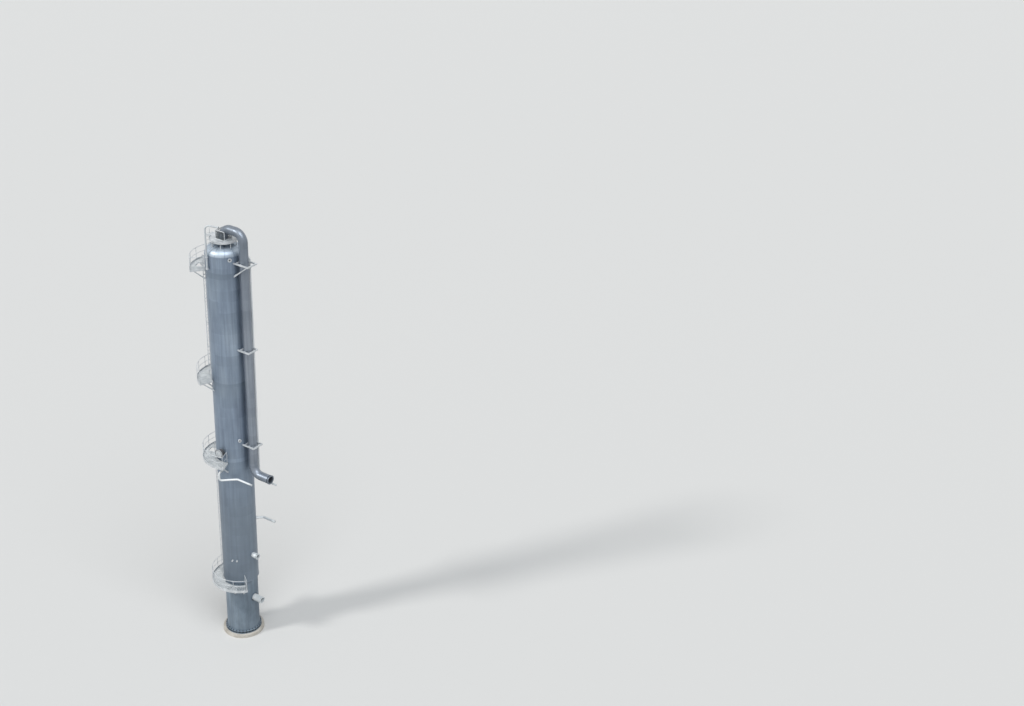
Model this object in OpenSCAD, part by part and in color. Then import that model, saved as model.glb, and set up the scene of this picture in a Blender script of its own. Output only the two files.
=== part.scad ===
/* [Vessel] */
// Inside diameter of the pressure shell
shell_id = 2800; // [2600:20:3000]
// Thickness of the shell plate
shell_wall = 20; // [14:1:40]
// Insulation and its sheet-metal jacket, measured together
insulation_t = 130; // [100:5:150]
// Length of the shell between the two dished ends
shell_len = 30900; // [30000:50:31600]
// Height of the bottom tangent line above the base ring
tangent_z = 5950; // [5850:10:6100]
// Height of the jacket's lower edge above the base ring
jacket_foot_z = 5560; // [5520:10:5700]
// Thickness of the bare dished bottom
head_wall = 24; // [16:1:40]

/* [Foundation] */
// Diameter of the round plinth
plinth_w = 3640; // [3500:20:4200]
// Height of the plinth
plinth_h = 300; // [200:10:600]
// Thickness of the skirt plate
skirt_wall = 16; // [12:1:30]
// Outside diameter of the base ring
base_ring_od = 3180; // [3160:10:3400]
// Thickness of the base ring and of the ring above it
base_ring_t = 40; // [25:1:60]
// Clear height between the two base rings
chair_h = 180; // [140:5:260]
// Number of anchor bolts
anchor_count = 32; // [16:4:36]
// Diameter of an anchor bolt
anchor_d = 42; // [30:1:56]
// Thickness of a gusset between the base rings
gusset_t = 20; // [12:1:30]
// Clear diameter of the access opening in the skirt
access_d = 600; // [500:10:700]
// Height of the access opening's centre above the base ring
access_z = 1250; // [1000:10:1600]

/* [Vapour line] */
// Bare pipe diameter of the vapour line
vapour_od = 610; // [580:1:640]
// Wall of the vapour pipe
vapour_wall = 10; // [6:1:20]
// Insulation on the vapour line
vapour_ins = 75; // [60:1:85]
// Bend radius of the vapour line
vapour_bend = 800; // [780:10:880]
// Distance of the downcomer from the column's axis
downcomer_x = 2120; // [2100:10:2240]
// Height of the vapour line's highest centreline above the top tangent line
vapour_rise = 2040; // [1970:10:2130]
// Height of the outgoing run's centreline above the base ring
vapour_out_z = 16750; // [16500:10:16900]
// Distance of the vapour line's end flange from the axis
vapour_end_x = 4000; // [3600:20:4600]

/* [Platforms] */
// Heights of the three lower sector platforms above the base ring
low_deck_z = [5300, 17960, 25500];
// Depth of the upper sector platform below the top tangent line
upper_deck_drop = 1370; // [1300:10:1500]
// Outer radii of the four sector platforms
deck_r = [2550, 2700, 2780, 2820];
// Bearings of each platform's right-hand end
deck_from = [-35, -68.5, -111, -126];
// Bearings of each platform's left-hand end
deck_to = [-200, -224, -200, -196];
// Bearings of the brackets under each of the four
bracket_at = [[-40, -72, -104, -136, -168, -195], [-73, -100, -126, -149, -187, -219],
    [-115, -141, -168, -196], [-131, -173, -192]];
// Clearance between a deck and the jacket
deck_gap = 60; // [30:5:100]
// Thickness of the deck grating
grating_t = 38; // [30:1:50]
// Depth of the rolled edge channel
edge_d = 140; // [100:5:180]
// Thickness of the edge channel and toe plate
edge_t = 10; // [8:1:16]
// Height of the toe plate above the deck
toe_h = 110; // [80:5:150]
// Height of the handrail above the deck
rail_h = 1100; // [1000:10:1200]
// Diameter of the handrail and its posts
rail_d = 48; // [38:1:60]
// Diameter of the knee rail
knee_rail_d = 34; // [26:1:42]

/* [Top platform] */
// Height of the top deck above the top tangent line
top_rise = 1130; // [1070:10:1190]
// Radius of the top deck
top_r = 1155; // [1130:5:1200]
// Distance of the landing's end from the axis, at the head of the top ladder
landing_r = 1620; // [1580:10:1660]
// Width of the landing
landing_w = 620; // [560:10:680]
// Width of the guard round the riser
guard_w = 900; // [880:10:940]
// Length of the guard round the riser, towards the crossover
guard_l = 1000; // [960:10:1040]
// Height of the guard round the riser
guard_h = 780; // [700:10:820]

/* [Ladders] */
// Bearings of the five ladders, from the ground up
ladder_at = [150, -165, 148, -157, -182];
// Distance of the rungs from the jacket
ladder_gap = 230; // [200:5:260]
// Clear width of a ladder
ladder_w = 450; // [400:10:480]
// Diameter of a rung
rung_d = 25; // [20:1:32]
// Distance from rung to rung
rung_pitch = 300; // [250:5:320]
// Depth of a ladder's side bar
stile_d = 65; // [50:1:80]
// Thickness of a ladder's side bar
stile_t = 12; // [8:1:16]
// Height of a ladder's side bars above the landing
stile_over = 1000; // [900:10:1100]

/* [Davit] */
// Bearing of the davit's mast
davit_at = -102; // [-106:0.5:-98]
// Distance of the mast from the column's axis
davit_r = 1690; // [1670:5:1720]
// Diameter of the davit's pipe
davit_d = 150; // [114:1:168]
// Bend radius of the davit's pipe
davit_bend = 420; // [350:5:450]
// Reach of the davit from its mast
davit_reach = 1250; // [1200:10:1280]
// Height of the davit's arm above the top of the crossover
davit_over = 280; // [210:5:350]
// Depth of the davit's foot bearing below the top tangent line
davit_foot_drop = 1120; // [1050:10:1250]
// Depth of the davit's guide below the top tangent line
davit_guide_drop = 110; // [90:10:200]
// Bearing towards which the arm points at rest
davit_rest = 14; // [8:1:20]
// Running clearance round the mast
davit_fit = 6; // [6:1:10]

/* [Nozzles and lines] */
// Bearing of the manway
manway_at = -90; // [-96:1:-88]
// Height of the manway's centre above the mid platform
manway_over = 850; // [750:10:950]
// Clear diameter of the manway
manway_id = 600; // [500:10:620]
// Outside diameter of the insulated feed line
feed_od = 170; // [150:5:200]
// Outside diameter of the insulated draw-off line
draw_od = 216; // [190:2:240]
// Outside diameter of the insulated reflux line
reflux_od = 170; // [150:5:200]
// Outside diameter of the insulated reboiler return
return_od = 486; // [440:2:520]
// Outside diameter of the insulated bottom line
bottom_od = 607; // [560:1:640]

/* [Hidden] */
$fn = 48;
fine = 240;
seat = 0.3;
shell_r = shell_id / 2 + shell_wall;
jacket_r = shell_r + insulation_t;
skirt_in = shell_id / 2 + head_wall + seat;
skirt_r = skirt_in + skirt_wall;
ring_z = plinth_h;
tangent_top_z = tangent_z + shell_len;
deck_z = concat(low_deck_z, tangent_top_z - upper_deck_drop);
top_z = tangent_top_z + top_rise;
vapour_top_z = tangent_top_z + vapour_rise;
davit_arm_z = vapour_top_z + vapour_od / 2 + vapour_ins + davit_over;
davit_foot_z = tangent_top_z - davit_foot_drop;
davit_guide_z = tangent_top_z - davit_guide_drop;
galvanised = "#c4c9cc";
cladding = "#87939d";
painted = "#7f8f9b";

// Height above the plinth's underside of a height given above the base ring
function up(z) = ring_z + z;
// Crown, knuckle and depth of a dished end for an inside diameter
function crown(d) = 0.8 * d;
function knuckle(d) = 0.154 * d;
function crown_z(d) = -sqrt(pow(crown(d) - knuckle(d), 2) - pow(d / 2 - knuckle(d), 2));
function dish_h(d) = crown(d) + crown_z(d);

// Filled half outline of a dished end whose inside diameter is d, grown by t
module dish_outline(d, t) {
    kx = d / 2 - knuckle(d);
    reach = crown(d) + t + 100;
    intersection() {
        translate([0, crown_z(d)]) circle(crown(d) + t, $fn = fine);
        polygon([[0, crown_z(d)], [kx / -crown_z(d) * reach, crown_z(d) + reach], [0, crown_z(d) + reach]]);
        square([d, d]);
    }
    intersection() {
        translate([kx, 0]) circle(knuckle(d) + t, $fn = 96);
        square([d, d]);
    }
}

// Dished end with an outer growth of t_out and an inner growth of t_in
module dish(d, t_in, t_out) {
    rotate_extrude($fn = fine) difference() {
        dish_outline(d, t_out);
        dish_outline(d, t_in);
    }
}

// Tube along +Z from z0 to z1
module tube(r_out, r_in, z0, z1) {
    translate([0, 0, z0]) difference() {
        cylinder(r = r_out, h = z1 - z0, $fn = fine);
        translate([0, 0, -1]) cylinder(r = r_in, h = z1 - z0 + 2, $fn = fine);
    }
}

// Trims children to the outside of the jacket between two heights above the base ring
module outside(z0, z1) {
    difference() {
        children();
        translate([0, 0, up(z0)]) cylinder(r = jacket_r + seat, h = z1 - z0, $fn = fine);
    }
}

// Ring sector between two bearings, built up along +Z
module sector(r_in, r_out, z0, h, a0, a1) {
    translate([0, 0, z0]) rotate([0, 0, min(a0, a1)])
        rotate_extrude(angle = abs(a1 - a0), $fn = fine) translate([r_in, 0]) square([r_out - r_in, h]);
}

// Round bar bent along a circle about the column's axis
module bent_bar(r, z, d, a0, a1) {
    translate([0, 0, z]) rotate([0, 0, min(a0, a1)])
        rotate_extrude(angle = abs(a1 - a0), $fn = fine) translate([r, 0]) circle(d = d, $fn = 24);
}

// Quarter bend of a bar of diameter d that leaves the origin along +Z and turns to +X
module bend(radius, d) {
    translate([radius, 0, 0]) rotate([90, 0, 180])
        rotate_extrude(angle = 90, $fn = fine) translate([radius, 0]) circle(d = d);
}

// Level bend of a bar of diameter d that leaves the origin along +X and turns to the right
module turn_right(radius, d, angle) {
    translate([0, -radius, 0]) rotate([0, 0, 90 - angle])
        rotate_extrude(angle = angle, $fn = fine) translate([radius, 0]) circle(d = d);
}

// Pipe of the nozzle through shell and jacket, bare under the insulation
module nozzle_pipe(bearing, z, d) {
    at(bearing, shell_id / 2 - 20, z) rotate([0, 90, 0]) cylinder(d = d, h = jacket_r + 80 - shell_id / 2);
}

// Sheet-metal band round a joint of the jacketing, along +Z
module band(d) {
    translate([0, 0, -20]) cylinder(d = d + 10, h = 40);
}

// Places children at a bearing, a radius and a height above the base ring
module at(bearing, r, z) {
    rotate([0, 0, bearing]) translate([r, 0, up(z)]) children();
}

// Bolt holes on a circle, along +X
module bolt_holes(pcd, count, d, length) {
    for (i = [0 : count - 1]) rotate([(i + 0.5) * 360 / count, 0, 0])
        translate([0, 0, pcd / 2]) rotate([0, 90, 0]) cylinder(d = d, h = length, center = true, $fn = 16);
}

// Weld-neck flange whose face looks along +X and lies at x = 0
module flange(od, bore, t, pcd, count, hole_d) {
    difference() {
        rotate([0, -90, 0]) cylinder(d = od, h = t);
        rotate([0, -90, 0]) translate([0, 0, -1]) cylinder(d = bore, h = t + 2);
        bolt_holes(pcd, count, hole_d, 3 * t);
    }
}

module plinth() {
    color("#cfccc6") difference() {
        cylinder(d = plinth_w, h = plinth_h, $fn = fine);
        for (i = [0 : anchor_count - 1]) rotate([0, 0, (i + 0.5) * 360 / anchor_count])
            translate([anchor_pcd / 2, 0, plinth_h - anchor_sink])
                cylinder(d = anchor_d + 2 * seat, h = anchor_sink + 1, $fn = 16);
    }
}

anchor_pcd = skirt_r + base_ring_od / 2 + 30;
anchor_sink = 150;
anchor_hole = anchor_d + 6;
nut_h = anchor_d * 0.8;
chair_top = 2 * base_ring_t + chair_h;

module base_ring() {
    color(painted) difference() {
        union() {
            tube(base_ring_od / 2, skirt_r - 160, ring_z + seat, ring_z + base_ring_t);
            tube(base_ring_od / 2, skirt_r, ring_z + base_ring_t + chair_h, ring_z + chair_top);
            for (i = [0 : anchor_count - 1]) rotate([0, 0, i * 360 / anchor_count])
                translate([skirt_r - 4, -gusset_t / 2, ring_z + base_ring_t])
                    cube([base_ring_od / 2 - skirt_r - 6, gusset_t, chair_h]);
        }
        translate([0, 0, ring_z + base_ring_t]) cylinder(r = skirt_r + seat, h = chair_top, $fn = fine);
        for (i = [0 : anchor_count - 1]) rotate([0, 0, (i + 0.5) * 360 / anchor_count])
            translate([anchor_pcd / 2, 0, ring_z - 1]) cylinder(d = anchor_hole, h = chair_top + 2, $fn = 16);
    }
}

module anchor_bolts() {
    color("#5b5f63") for (i = [0 : anchor_count - 1]) rotate([0, 0, (i + 0.5) * 360 / anchor_count])
        translate([anchor_pcd / 2, 0, 0]) {
            translate([0, 0, plinth_h - anchor_sink])
                cylinder(d = anchor_d, h = anchor_sink + chair_top + nut_h + 40, $fn = 16);
            translate([0, 0, ring_z + chair_top + seat]) cylinder(d = anchor_d * 1.8, h = nut_h, $fn = 6);
        }
}

bottom_line_z = 3600;
bottom_bend = 686;
bottom_end_x = 2400;

module skirt() {
    color(painted) difference() {
        union() {
            tube(skirt_r, skirt_in, ring_z + base_ring_t, up(tangent_z));
            at(access_at, skirt_r - 30, access_z) rotate([0, 90, 0]) cylinder(d = access_d + 24, h = 130);
            at(0, skirt_r - 30, bottom_line_z) rotate([0, 90, 0]) cylinder(d = bottom_od + 120, h = 90);
        }
        at(access_at, skirt_r - 100, access_z) rotate([0, 90, 0]) cylinder(d = access_d, h = 300);
        at(0, skirt_r - 100, bottom_line_z) rotate([0, 90, 0]) cylinder(d = bottom_od + 96, h = 300);
        for (i = [0 : 3]) at(45 + 90 * i, skirt_r - 60, tangent_z - 900) rotate([0, 90, 0])
            cylinder(d = 100, h = 120, $fn = 24);
    }
}

access_at = 90;

module bottom_head() {
    color("#6b6f73") translate([0, 0, up(tangent_z)]) mirror([0, 0, 1]) difference() {
        dish(shell_id, 0, head_wall);
        translate([0, 0, dish_h(shell_id) - 60]) cylinder(d = bottom_bore, h = 200);
    }
}

bottom_bore = 438;

// Outer or inner path of the bottom line, from the head to the end flange
module bottom_path(d) {
    top_z = tangent_z - dish_h(shell_id) + 100;
    translate([0, 0, up(bottom_line_z + bottom_bend)]) cylinder(d = d, h = top_z - bottom_line_z - bottom_bend);
    translate([0, 0, up(bottom_line_z + bottom_bend)]) rotate([180, 0, 0]) bend(bottom_bend, d);
    translate([bottom_bend, 0, up(bottom_line_z)]) rotate([0, 90, 0]) cylinder(d = d, h = bottom_end_x - bottom_bend - 60);
}

module bottom_line() {
    color("#b9c0c5") difference() {
        union() {
            bottom_path(bottom_od);
            translate([0, 0, up(bottom_line_z + bottom_bend)]) band(bottom_od);
            translate([bottom_bend, 0, up(bottom_line_z)]) rotate([0, 90, 0]) band(bottom_od);
            at(0, bottom_end_x - 70, bottom_line_z) rotate([0, 90, 0]) cylinder(d = 457, h = 40);
            at(0, bottom_end_x, bottom_line_z) flange(635, 400, 40, 577.9, 16, 32);
        }
        translate([0, 0, up(tangent_z)]) mirror([0, 0, 1]) rotate_extrude($fn = fine)
            dish_outline(shell_id, head_wall + seat);
        bottom_path(bottom_bore);
        at(0, bottom_end_x - 200, bottom_line_z) rotate([0, 90, 0]) cylinder(d = bottom_bore, h = 300);
    }
}

// Cuts for every nozzle that passes through the shell, grown by a clearance
module nozzle_cuts(grow) {
    at(manway_at, shell_r, manway_z) rotate([0, 90, 0]) cylinder(d = manway_od + grow, h = 600, center = true);
    at(0, shell_r, return_z) rotate([0, 90, 0]) cylinder(d = 356 + grow, h = 600, center = true);
    at(feed_at, shell_r, feed_nozzle_z) rotate([0, 90, 0]) cylinder(d = 89 + grow, h = 600, center = true, $fn = 32);
    at(draw_at, shell_r, draw_z) rotate([0, 90, 0]) cylinder(d = 114 + grow, h = 600, center = true, $fn = 32);
    at(reflux_at, shell_r, reflux_z) rotate([0, 90, 0]) cylinder(d = 89 + grow, h = 600, center = true, $fn = 32);
}

manway_z = deck_z[1] + manway_over;
manway_od = manway_id + 20;
return_z = 8150;
feed_at = -83;
feed_nozzle_z = 17240;
draw_at = 44;
draw_z = 11300;
reflux_z = tangent_top_z - 150;
nozzle_fit = 2;

module shell() {
    color("#6b6f73") difference() {
        tube(shell_r, shell_id / 2, up(tangent_z), up(tangent_top_z));
        nozzle_cuts(nozzle_fit);
    }
}

module jacket() {
    color(cladding) difference() {
        tube(jacket_r, shell_r + seat, up(jacket_foot_z), up(tangent_top_z));
        translate([0, 0, up(jacket_foot_z) - 1])
            cylinder(r = skirt_r + seat, h = tangent_z - jacket_foot_z + 1 + seat, $fn = fine);
        nozzle_cuts(nozzle_fit);
    }
}

module top_head() {
    color("#6b6f73") translate([0, 0, up(tangent_top_z)]) difference() {
        dish(shell_id, 0, shell_wall);
        translate([0, 0, dish_h(shell_id) - 60]) cylinder(d = vapour_bore, h = 200);
    }
}

vapour_bore = vapour_od - 2 * vapour_wall;
vapour_out_d = vapour_od + 2 * vapour_ins;

module head_jacket() {
    color(cladding) translate([0, 0, up(tangent_top_z)]) difference() {
        dish(shell_id, shell_wall + seat, shell_wall + insulation_t);
        translate([0, 0, dish_h(shell_id) - 60]) cylinder(d = vapour_out_d + 20, h = 400);
    }
}

// Outer or inner path of the vapour line
module vapour_path(d) {
    foot_z = tangent_top_z + dish_h(shell_id) - 100;
    bend_z = vapour_top_z - vapour_bend;
    elbow_z = vapour_out_z + vapour_bend;
    translate([0, 0, up(foot_z)]) cylinder(d = d, h = bend_z - foot_z);
    translate([0, 0, up(bend_z)]) bend(vapour_bend, d);
    translate([vapour_bend, 0, up(vapour_top_z)]) rotate([0, 90, 0]) cylinder(d = d, h = downcomer_x - 2 * vapour_bend);
    translate([downcomer_x, 0, up(bend_z)]) mirror([1, 0, 0]) bend(vapour_bend, d);
    translate([downcomer_x, 0, up(elbow_z)]) cylinder(d = d, h = bend_z - elbow_z);
    translate([downcomer_x, 0, up(elbow_z)]) rotate([180, 0, 0]) bend(vapour_bend, d);
    translate([downcomer_x + vapour_bend, 0, up(vapour_out_z)]) rotate([0, 90, 0])
        cylinder(d = d, h = vapour_end_x - downcomer_x - vapour_bend - 150);
}

module vapour_bands() {
    bend_z = vapour_top_z - vapour_bend;
    for (x = [0, downcomer_x]) translate([x, 0, up(bend_z)]) band(vapour_out_d);
    for (x = [vapour_bend, downcomer_x - vapour_bend]) translate([x, 0, up(vapour_top_z)])
        rotate([0, 90, 0]) band(vapour_out_d);
    translate([downcomer_x, 0, up(vapour_out_z + vapour_bend)]) band(vapour_out_d);
    translate([downcomer_x + vapour_bend, 0, up(vapour_out_z)]) rotate([0, 90, 0]) band(vapour_out_d);
}

module vapour_line() {
    color("#a9b1b8") difference() {
        union() {
            vapour_path(vapour_out_d);
            vapour_bands();
            at(0, vapour_end_x - 160, vapour_out_z) rotate([0, 90, 0]) cylinder(d = vapour_od, h = 130);
            at(0, vapour_end_x, vapour_out_z) flange(815, vapour_bore - 20, 48, 749.3, 20, 35);
        }
        translate([0, 0, up(tangent_top_z)]) rotate_extrude($fn = fine) dish_outline(shell_id, shell_wall + seat);
        vapour_path(vapour_bore);
        at(0, vapour_end_x - 300, vapour_out_z) rotate([0, 90, 0]) cylinder(d = vapour_bore, h = 400);
        at(0, vapour_end_x, vapour_out_z) bolt_holes(749.3, 20, 35, 140);
    }
}

bracket_z = [reflux_z - 420, 28500, 19520];
bracket_more = [320, 0, 60];
arm_y = vapour_out_d / 2 + 130;
arm_b = 100;
arm_h = 120;
brace_b = 70;
arm_end_x = downcomer_x + vapour_out_d / 2 + 190;
frame_x = downcomer_x - vapour_out_d / 2 - 25 - arm_b;
guide_gap = 5;

// Guide frame round the downcomer, its arms longer by more, with a knee brace under each arm where asked
module pipe_bracket(z, more, braced) {
    shoe = arm_y - arm_b / 2 - vapour_out_d / 2 - guide_gap;
    color(galvanised) difference() {
        outside(z - 1400, z + 400) bracket_frame(z, arm_end_x + more, braced, shoe);
        translate([reflux_x, reflux_y, up(z) - 1]) cylinder(d = reflux_od + 2 * seat, h = arm_h + 2);
    }
}

module bracket_frame(z, end_x, braced, shoe) {
    union() {
        for (s = [-1, 1]) {
            translate([jacket_r - 200, s * arm_y - arm_b / 2, up(z)])
                cube([end_x - jacket_r + 200, arm_b, arm_h]);
            translate([downcomer_x - 60, s > 0 ? arm_y - arm_b / 2 - shoe : arm_b / 2 - arm_y, up(z) + 10])
                cube([120, shoe, arm_h - 20]);
            if (s > 0) translate([reflux_x - 50, arm_y + arm_b / 2 - 5, up(z) + 10]) cube([100, 5 + reflux_gap + 12, arm_h - 20]);
            if (braced) translate([0, s * arm_y + brace_b / 2, up(z)]) rotate([90, 0, 0]) linear_extrude(brace_b)
                polygon([[jacket_r - 200, -1180], [jacket_r - 90, -1180], [end_x - 110, 1],
                    [end_x - 210, 1], [jacket_r - 200, -1110]]);
        }
        for (x = [frame_x, end_x - arm_b]) translate([x, -arm_y, up(z)]) cube([arm_b, 2 * arm_y, arm_h]);
    }
}

module pipe_bracket_upper() pipe_bracket(bracket_z[0], bracket_more[0], true);
module pipe_bracket_middle() pipe_bracket(bracket_z[1], bracket_more[1], false);
module pipe_bracket_lower() pipe_bracket(bracket_z[2], bracket_more[2], false);

reflux_bend = 230;
reflux_gap = 15;
reflux_x = downcomer_x + 10;
reflux_y = arm_y + arm_b / 2 + reflux_gap + reflux_od / 2;
reflux_r = norm([reflux_x, reflux_y]);
reflux_at = atan2(reflux_y, reflux_x);
reflux_low_z = vapour_out_z - 830;

module reflux_line() {
    top_z = reflux_z - reflux_bend;
    low_z = reflux_low_z + reflux_bend;
    color("#b9c0c5") difference() {
        union() {
            outside(reflux_z - 300, reflux_z + 300) at(reflux_at, jacket_r - 40, reflux_z) rotate([0, 90, 0])
                cylinder(d = reflux_od, h = reflux_r - reflux_bend - jacket_r + 40);
            nozzle_pipe(reflux_at, reflux_z, 89);
            at(reflux_at, reflux_r, top_z) mirror([1, 0, 0]) bend(reflux_bend, reflux_od);
            at(reflux_at, reflux_r - reflux_bend, reflux_z) rotate([0, 90, 0]) band(reflux_od);
            translate([reflux_x, reflux_y, up(top_z)]) band(reflux_od);
            translate([reflux_x, reflux_y, up(low_z)]) cylinder(d = reflux_od, h = top_z - low_z);
            translate([reflux_x, reflux_y, up(low_z)]) band(reflux_od);
            translate([reflux_x, reflux_y, up(low_z)]) rotate([180, 0, 0]) bend(reflux_bend, reflux_od);
            translate([reflux_x + reflux_bend, reflux_y, up(reflux_low_z)]) rotate([0, 90, 0]) band(reflux_od);
            translate([reflux_x + reflux_bend, reflux_y, up(reflux_low_z)]) rotate([0, 90, 0])
                cylinder(d = reflux_od, h = vapour_end_x - reflux_x - reflux_bend - 120);
            translate([vapour_end_x, reflux_y, up(reflux_low_z)]) small_end(89, 190, 152.4, 4);
        }
        translate([vapour_end_x, reflux_y, up(reflux_low_z)]) small_end_bore(78);
    }
}

// Bare pipe end and flange of a small line, its face at x = 0
module small_end(pipe_d, od, pcd, count) {
    translate([-130, 0, 0]) rotate([0, 90, 0]) cylinder(d = pipe_d, h = 118);
    flange(od, pipe_d - 10, 24, pcd, count, 19);
}

module small_end_bore(bore) {
    translate([-400, 0, 0]) rotate([0, 90, 0]) cylinder(d = bore, h = 500);
}

feed_bend = 230;
feed_leg_r = 2350;
feed_run_z = 16500;
feed_turn = [1410, -1290];
feed_end_x = 3000;

module feed_line() {
    leg = [feed_leg_r * cos(feed_at), feed_leg_r * sin(feed_at)];
    chord = feed_turn - leg;
    chord_at = atan2(chord[1], chord[0]);
    turn_len = feed_bend * tan(chord_at / 2);
    color("#d5dadd") difference() {
        union() {
            outside(feed_nozzle_z - 300, feed_nozzle_z + 300) at(feed_at, jacket_r - 40, feed_nozzle_z)
                rotate([0, 90, 0]) cylinder(d = feed_od, h = feed_leg_r - feed_bend - jacket_r + 40);
            nozzle_pipe(feed_at, feed_nozzle_z, 89);
            at(feed_at, feed_leg_r - feed_bend, feed_nozzle_z) rotate([0, 90, 0]) band(feed_od);
            at(feed_at, feed_leg_r, feed_nozzle_z - feed_bend) mirror([1, 0, 0]) bend(feed_bend, feed_od);
            translate([leg[0], leg[1], up(feed_run_z + feed_bend)])
                cylinder(d = feed_od, h = feed_nozzle_z - feed_run_z - 2 * feed_bend);
            for (z = [feed_run_z + feed_bend, feed_nozzle_z - feed_bend]) translate([leg[0], leg[1], up(z)])
                band(feed_od);
            translate([leg[0], leg[1], up(feed_run_z)]) rotate([0, 0, chord_at]) {
                translate([0, 0, feed_bend]) rotate([180, 0, 0]) bend(feed_bend, feed_od);
                translate([feed_bend, 0, 0]) rotate([0, 90, 0]) band(feed_od);
                translate([feed_bend, 0, 0]) rotate([0, 90, 0])
                    cylinder(d = feed_od, h = norm(chord) - feed_bend - turn_len);
            }
            translate([feed_turn[0], feed_turn[1], up(feed_run_z)]) rotate([0, 0, chord_at])
                translate([-turn_len, 0, 0]) {
                    turn_right(feed_bend, feed_od, chord_at);
                    rotate([0, 90, 0]) band(feed_od);
                }
            translate([feed_turn[0] + turn_len, feed_turn[1], up(feed_run_z)]) rotate([0, 90, 0]) {
                band(feed_od);
                cylinder(d = feed_od, h = feed_end_x - feed_turn[0] - turn_len - 120);
            }
            translate([feed_end_x, feed_turn[1], up(feed_run_z)]) small_end(89, 190, 152.4, 4);
        }
        translate([feed_end_x, feed_turn[1], up(feed_run_z)]) small_end_bore(78);
    }
}

draw_bend = 300;
draw_r = 2200;
draw_end_x = 2900;

module draw_off_line() {
    turn_len = draw_bend * tan(draw_at / 2);
    corner = [draw_r * cos(draw_at), draw_r * sin(draw_at)];
    color("#d5dadd") difference() {
        union() {
            outside(draw_z - 300, draw_z + 300) at(draw_at, jacket_r - 60, draw_z) rotate([0, 90, 0]) {
                cylinder(d = draw_od + 50, h = 240);
                cylinder(d = draw_od, h = draw_r - turn_len - jacket_r + 60);
            }
            nozzle_pipe(draw_at, draw_z, 114);
            at(draw_at, draw_r - turn_len, draw_z) rotate([0, 90, 0]) band(draw_od);
            at(draw_at, draw_r - turn_len, draw_z) turn_right(draw_bend, draw_od, draw_at);
            translate([corner[0] + turn_len, corner[1], up(draw_z)]) rotate([0, 90, 0]) {
                band(draw_od);
                cylinder(d = draw_od, h = draw_end_x - corner[0] - turn_len - 120);
            }
            translate([draw_end_x, corner[1], up(draw_z)]) small_end(114, 230, 190.5, 8);
        }
        translate([draw_end_x, corner[1], up(draw_z)]) small_end_bore(102);
    }
}

return_end_x = 2120;

module reboiler_return() {
    color("#b9c0c5") difference() {
        union() {
            outside(return_z - 400, return_z + 400) at(0, jacket_r - 80, return_z) rotate([0, 90, 0])
                cylinder(d = return_od, h = return_end_x - jacket_r - 40);
            at(0, shell_id / 2 - 20, return_z) rotate([0, 90, 0])
                cylinder(d = 356, h = return_end_x - shell_id / 2);
            at(0, return_end_x, return_z) flange(535, 330, 35, 476.3, 12, 29);
        }
        at(0, shell_id / 2 - 200, return_z) rotate([0, 90, 0]) cylinder(d = 336, h = 1400);
    }
}

manway_reach = 480;
manway_flange_d = 780;

module manway() {
    color(galvanised) difference() {
        union() {
            at(manway_at, shell_id / 2 - 20, manway_z) rotate([0, 90, 0]) cylinder(d = manway_od, h = manway_reach + 40);
            at(manway_at, shell_id / 2 + manway_reach + 20, manway_z) flange(manway_flange_d, manway_id, 50, 700, 20, 30);
        }
        at(manway_at, shell_id / 2 - 200, manway_z) rotate([0, 90, 0]) cylinder(d = manway_id, h = manway_reach + 400);
    }
}

module manway_cover() {
    color(galvanised) at(manway_at, shell_id / 2 + manway_reach + 20, manway_z) difference() {
        union() {
            rotate([0, 90, 0]) cylinder(d = manway_flange_d, h = 50);
            translate([50, 0, 0]) for (s = [-1, 1]) translate([0, s * 130, -60]) cube([60, 16, 120]);
        }
        translate([25, 0, 0]) bolt_holes(700, 20, 30, 120);
    }
}

// Short bare nozzle with an open end, standing on the jacket
module stub(bearing, z, od, reach) {
    difference() {
        union() {
            outside(z - 300, z + 300) at(bearing, jacket_r - 60, z) rotate([0, 90, 0])
                cylinder(d = od * 0.7, h = reach + 40);
            at(bearing, jacket_r + reach - 30, z) rotate([0, 90, 0]) cylinder(d = od, h = 30);
        }
        at(bearing, jacket_r + 20, z) rotate([0, 90, 0]) cylinder(d = od * 0.45, h = reach + 60);
    }
}

module instrument_nozzles() {
    color(galvanised) {
        stub(-32, tangent_top_z - 130, 330, 160);
        stub(-30, deck_z[1] + 2140, 300, 160);
        stub(-71, deck_z[0] + 2650, 150, 180);
        stub(-57, deck_z[0] + 2650, 150, 180);
    }
}

davit_x = davit_r * cos(davit_at);
davit_y = davit_r * sin(davit_at);

module davit() {
    color("#c9ced2") translate([davit_x, davit_y, 0]) rotate([0, 0, davit_rest]) {
        translate([0, 0, up(davit_foot_z) + 30 + seat])
            cylinder(d = davit_d, h = davit_arm_z - davit_bend - davit_foot_z - 30 - seat);
        translate([0, 0, up(davit_arm_z - davit_bend)]) bend(davit_bend, davit_d);
        translate([davit_bend, 0, up(davit_arm_z)]) rotate([0, 90, 0]) cylinder(d = davit_d, h = davit_reach - davit_bend);
        difference() {
            translate([davit_reach - 110, -8, up(davit_arm_z) - davit_d / 2 - 110]) cube([90, 16, 150]);
            translate([davit_reach - 65, 0, up(davit_arm_z) - davit_d / 2 - 65]) rotate([90, 0, 0])
                cylinder(d = 40, h = 60, center = true, $fn = 24);
        }
    }
}

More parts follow.
